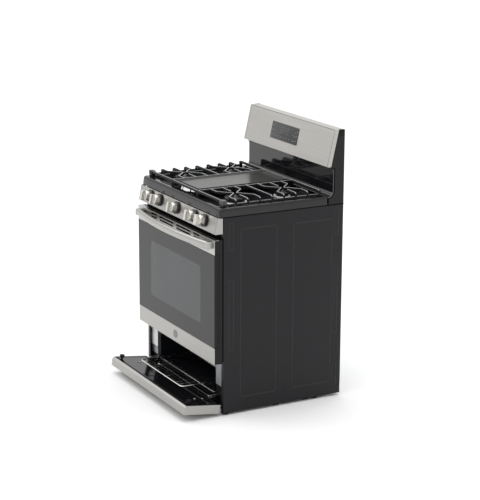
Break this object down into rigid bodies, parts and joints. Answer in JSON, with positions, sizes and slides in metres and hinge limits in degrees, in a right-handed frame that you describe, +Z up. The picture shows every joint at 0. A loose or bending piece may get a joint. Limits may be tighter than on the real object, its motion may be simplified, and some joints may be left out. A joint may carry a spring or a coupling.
{
  "type": "freestanding gas range",
  "caption": "Freestanding gas range with sealed burners under continuous grates, a griddle, an oven with a glass door, and a drop-down broiler door with a wire rack below.",
  "frame": {"origin": "bottom centre of the bounding box, on the floor, with the broiler door lying open as it does at rest", "axes": "+Z up, -Y towards the person at the range, +X to that person's right"},
  "size_m": [0.759, 0.7804, 1.206],
  "materials": {
    "side_paint": "satin",
    "galvanised": "matte",
    "frame_paint": "satin",
    "oven_enamel": "gloss",
    "black_enamel": "gloss",
    "insulation": "matte",
    "stainless": "brushed",
    "handle_metal": "brushed",
    "knob_metal": "brushed",
    "stem_steel": "satin",
    "valve_brass": "satin",
    "burner_metal": "satin",
    "igniter_ceramic": "matte",
    "cast_iron": "matte",
    "nonstick": "satin",
    "rack_chrome": "gloss",
    "door_glass": "gloss",
    "inner_glass": "gloss",
    "control_glass": "gloss",
    "gasket": "matte",
    "black_plastic": "matte"
  },
  "bodies": {
    "chassis": {"side_panel_left": "side_paint", "side_panel_right": "side_paint", "rear_panel": "galvanised", "base_frame": "frame_paint", "front_frame": "frame_paint", "oven_liner": "oven_enamel", "oven_floor": "oven_enamel", "oven_insulation": "insulation", "oven_lamp": "inner_glass", "oven_burner": "galvanised", "flame_spreader": "galvanised", "broiler_liner": "oven_enamel", "control_panel": "stainless", "gas_manifold": "galvanised", "gas_valves": "valve_brass", "gas_regulator": "galvanised", "cooktop": "black_enamel", "burner_heads": "burner_metal", "burner_caps": "black_enamel", "burner_igniters": "igniter_ceramic", "backguard_ends": "black_enamel", "backguard_front": "stainless", "rear_covers": "galvanised", "control_glass": "control_glass", "door_hinge_arms": "galvanised"},
    "oven_door": {"door_glass": "door_glass", "door_top_trim": "stainless", "door_bottom_trim": "stainless", "door_badge": "stainless", "door_frame": "frame_paint", "door_inner_glass": "inner_glass", "door_liner": "oven_enamel", "door_gasket": "gasket", "door_handle": "handle_metal", "door_handle_mounts": "handle_metal"},
    "broiler_door": {"broiler_door_skin": "stainless", "broiler_door_liner": "black_enamel", "broiler_door_straps": "galvanised", "broiler_door_bumpers": "black_plastic"},
    "broiler_rack": {"broiler_rack": "rack_chrome"},
    "oven_rack_lower": {"oven_rack_lower": "rack_chrome"},
    "oven_rack_upper": {"oven_rack_upper": "rack_chrome"},
    "grate_left": {"grate_left": "cast_iron"},
    "grate_centre": {"grate_centre": "cast_iron"},
    "grate_right": {"grate_right": "cast_iron"},
    "griddle": {"griddle": "nonstick"},
    "valve_stem_1": {"valve_stem_1": "stem_steel"},
    "knob_1": {"knob_1": "knob_metal"},
    "valve_stem_2": {"valve_stem_2": "stem_steel"},
    "knob_2": {"knob_2": "knob_metal"},
    "valve_stem_3": {"valve_stem_3": "stem_steel"},
    "knob_3": {"knob_3": "knob_metal"},
    "valve_stem_4": {"valve_stem_4": "stem_steel"},
    "knob_4": {"knob_4": "knob_metal"},
    "valve_stem_5": {"valve_stem_5": "stem_steel"},
    "knob_5": {"knob_5": "knob_metal"},
    "leveling_leg_1": {"leveling_leg_1": "black_plastic"},
    "leveling_leg_2": {"leveling_leg_2": "black_plastic"},
    "leveling_leg_3": {"leveling_leg_3": "black_plastic"},
    "leveling_leg_4": {"leveling_leg_4": "black_plastic"}
  },
  "joints": [
    {"name": "oven_door_hinge", "type": "hinge", "parent": "chassis", "child": "oven_door", "pos_m": [0, -0.23284, 0.254], "axis": [1, 0, 0], "range_deg": [0, 88]},
    {"name": "broiler_door_hinge", "type": "hinge", "parent": "chassis", "child": "broiler_door", "pos_m": [0, -0.21185, 0.044], "axis": [-1, 0, 0], "range_deg": [0, 82.3]},
    {"name": "broiler_rack_slide", "type": "slide", "parent": "chassis", "child": "broiler_rack", "axis": [0, 1, 0], "range_m": [0, 0.171]},
    {"name": "oven_rack_lower_slide", "type": "slide", "parent": "chassis", "child": "oven_rack_lower", "axis": [0, -1, 0], "range_m": [0, 0.3]},
    {"name": "oven_rack_upper_slide", "type": "slide", "parent": "chassis", "child": "oven_rack_upper", "axis": [0, -1, 0], "range_m": [0, 0.3]},
    {"name": "grate_left_lift", "type": "slide", "parent": "chassis", "child": "grate_left", "axis": [0, 0, 1], "range_m": [0, 0.15]},
    {"name": "grate_centre_lift", "type": "slide", "parent": "chassis", "child": "grate_centre", "axis": [0, 0, 1], "range_m": [0, 0.15]},
    {"name": "grate_right_lift", "type": "slide", "parent": "chassis", "child": "grate_right", "axis": [0, 0, 1], "range_m": [0, 0.15]},
    {"name": "griddle_lift", "type": "slide", "parent": "grate_centre", "child": "griddle", "axis": [0, 0, 1], "range_m": [0, 0.1]},
    {"name": "knob_1_push", "type": "slide", "parent": "chassis", "child": "valve_stem_1", "axis": [0, 0.981, -0.1942], "range_m": [0, 0.003], "stiffness_N_per_m": 1500, "springref_m": -0.002},
    {"name": "knob_1_turn", "type": "hinge", "parent": "valve_stem_1", "child": "knob_1", "pos_m": [-0.266, -0.23221, 0.84805], "axis": [0, -0.981, 0.1942], "range_deg": [0, 230]},
    {"name": "knob_2_push", "type": "slide", "parent": "chassis", "child": "valve_stem_2", "axis": [0, 0.981, -0.1942], "range_m": [0, 0.003], "stiffness_N_per_m": 1500, "springref_m": -0.002},
    {"name": "knob_2_turn", "type": "hinge", "parent": "valve_stem_2", "child": "knob_2", "pos_m": [-0.172, -0.23221, 0.84805], "axis": [0, -0.981, 0.1942], "range_deg": [0, 230]},
    {"name": "knob_3_push", "type": "slide", "parent": "chassis", "child": "valve_stem_3", "axis": [0, 0.981, -0.1942], "range_m": [0, 0.003], "stiffness_N_per_m": 1500, "springref_m": -0.002},
    {"name": "knob_3_turn", "type": "hinge", "parent": "valve_stem_3", "child": "knob_3", "pos_m": [0, -0.23221, 0.84805], "axis": [0, -0.981, 0.1942], "range_deg": [0, 230]},
    {"name": "knob_4_push", "type": "slide", "parent": "chassis", "child": "valve_stem_4", "axis": [0, 0.981, -0.1942], "range_m": [0, 0.003], "stiffness_N_per_m": 1500, "springref_m": -0.002},
    {"name": "knob_4_turn", "type": "hinge", "parent": "valve_stem_4", "child": "knob_4", "pos_m": [0.172, -0.23221, 0.84805], "axis": [0, -0.981, 0.1942], "range_deg": [0, 230]},
    {"name": "knob_5_push", "type": "slide", "parent": "chassis", "child": "valve_stem_5", "axis": [0, 0.981, -0.1942], "range_m": [0, 0.003], "stiffness_N_per_m": 1500, "springref_m": -0.002},
    {"name": "knob_5_turn", "type": "hinge", "parent": "valve_stem_5", "child": "knob_5", "pos_m": [0.266, -0.23221, 0.84805], "axis": [0, -0.981, 0.1942], "range_deg": [0, 230]},
    {"name": "leveling_leg_1_screw", "type": "hinge", "parent": "chassis", "child": "leveling_leg_1", "pos_m": [-0.352, -0.17785, 0], "axis": [0, 0, 1], "continuous": true},
    {"name": "leveling_leg_2_screw", "type": "hinge", "parent": "chassis", "child": "leveling_leg_2", "pos_m": [0.352, -0.17785, 0], "axis": [0, 0, 1], "continuous": true},
    {"name": "leveling_leg_3_screw", "type": "hinge", "parent": "chassis", "child": "leveling_leg_3", "pos_m": [-0.352, 0.26715, 0], "axis": [0, 0, 1], "continuous": true},
    {"name": "leveling_leg_4_screw", "type": "hinge", "parent": "chassis", "child": "leveling_leg_4", "pos_m": [0.352, 0.26715, 0], "axis": [0, 0, 1], "continuous": true}
  ],
  "couplings": [
    {"joint": "broiler_rack_slide", "follows": "broiler_door_hinge", "m_per_rad": 0.1183},
    {"joint": "oven_rack_lower_slide", "follows": "oven_door_hinge", "m_per_rad": 0.195},
    {"joint": "oven_rack_upper_slide", "follows": "oven_door_hinge", "m_per_rad": 0.195}
  ]
}
